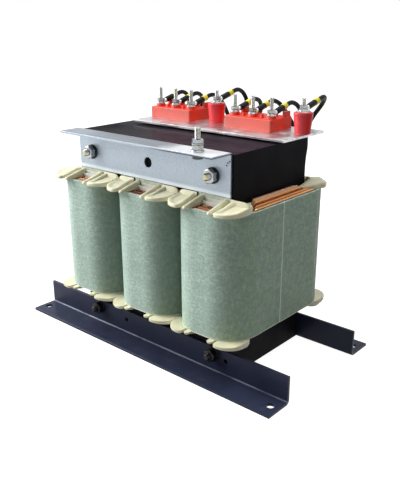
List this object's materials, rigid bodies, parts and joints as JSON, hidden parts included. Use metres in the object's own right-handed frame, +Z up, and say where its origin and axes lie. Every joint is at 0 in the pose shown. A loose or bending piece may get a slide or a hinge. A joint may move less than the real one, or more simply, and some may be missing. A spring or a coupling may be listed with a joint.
{
  "type": "dry-type three-phase power transformer",
  "caption": "Open dry-type transformer with wrapped coils on a laminated core, sheet clamps, moulded terminal blocks on top and angle rails below.",
  "frame": {"origin": "centre of the four base holes, at the rails' underside", "axes": "+X along the row of coils, +Y from the front clamp to the terminal side, +Z up"},
  "size_m": [0.48, 0.269, 0.3601],
  "materials": {
    "core_black": "satin",
    "rail_paint": "satin",
    "zinc_sheet": "satin",
    "bright_sheet": "polished",
    "black_fastener": "satin",
    "zinc_fastener": "polished",
    "former_green": "satin",
    "barrier_board": "matte",
    "copper": "satin",
    "wrap_green": "satin",
    "spacer_cream": "satin",
    "terminal_red": "gloss",
    "insulator_red": "gloss",
    "lead_black": "matte",
    "sleeve_black": "satin",
    "marker_yellow": "satin",
    "lug_tin": "satin"
  },
  "bodies": {
    "root": {"clamp_bolts": "zinc_fastener", "coil_left_barrier": "barrier_board", "coil_left_bottom_spacers": "spacer_cream", "coil_left_former": "former_green", "coil_left_inner_winding": "copper", "coil_left_outer_winding": "copper", "coil_left_top_spacers": "spacer_cream", "coil_left_wrap": "wrap_green", "coil_middle_barrier": "barrier_board", "coil_middle_bottom_spacers": "spacer_cream", "coil_middle_former": "former_green", "coil_middle_inner_winding": "copper", "coil_middle_outer_winding": "copper", "coil_middle_top_spacers": "spacer_cream", "coil_middle_wrap": "wrap_green", "coil_right_barrier": "barrier_board", "coil_right_bottom_spacers": "spacer_cream", "coil_right_former": "former_green", "coil_right_inner_winding": "copper", "coil_right_outer_winding": "copper", "coil_right_top_spacers": "spacer_cream", "coil_right_wrap": "wrap_green", "core_limbs": "core_black", "core_upper_yoke": "core_black", "earth_stud": "zinc_fastener", "front_clamp": "zinc_sheet", "front_rail": "rail_paint", "lead_lugs": "lug_tin", "lead_markers": "marker_yellow", "lead_sleeves": "sleeve_black", "neutral_insulators": "insulator_red", "neutral_leads": "lead_black", "neutral_studs": "zinc_fastener", "phase_leads": "lead_black", "plate_bolts": "zinc_fastener", "rail_bolts": "black_fastener", "rear_clamp": "zinc_sheet", "rear_rail": "rail_paint", "terminal_block_left": "terminal_red", "terminal_block_right": "terminal_red", "terminal_plate": "bright_sheet", "terminal_studs_left": "zinc_fastener", "terminal_studs_right": "zinc_fastener"}
  },
  "joints": []
}
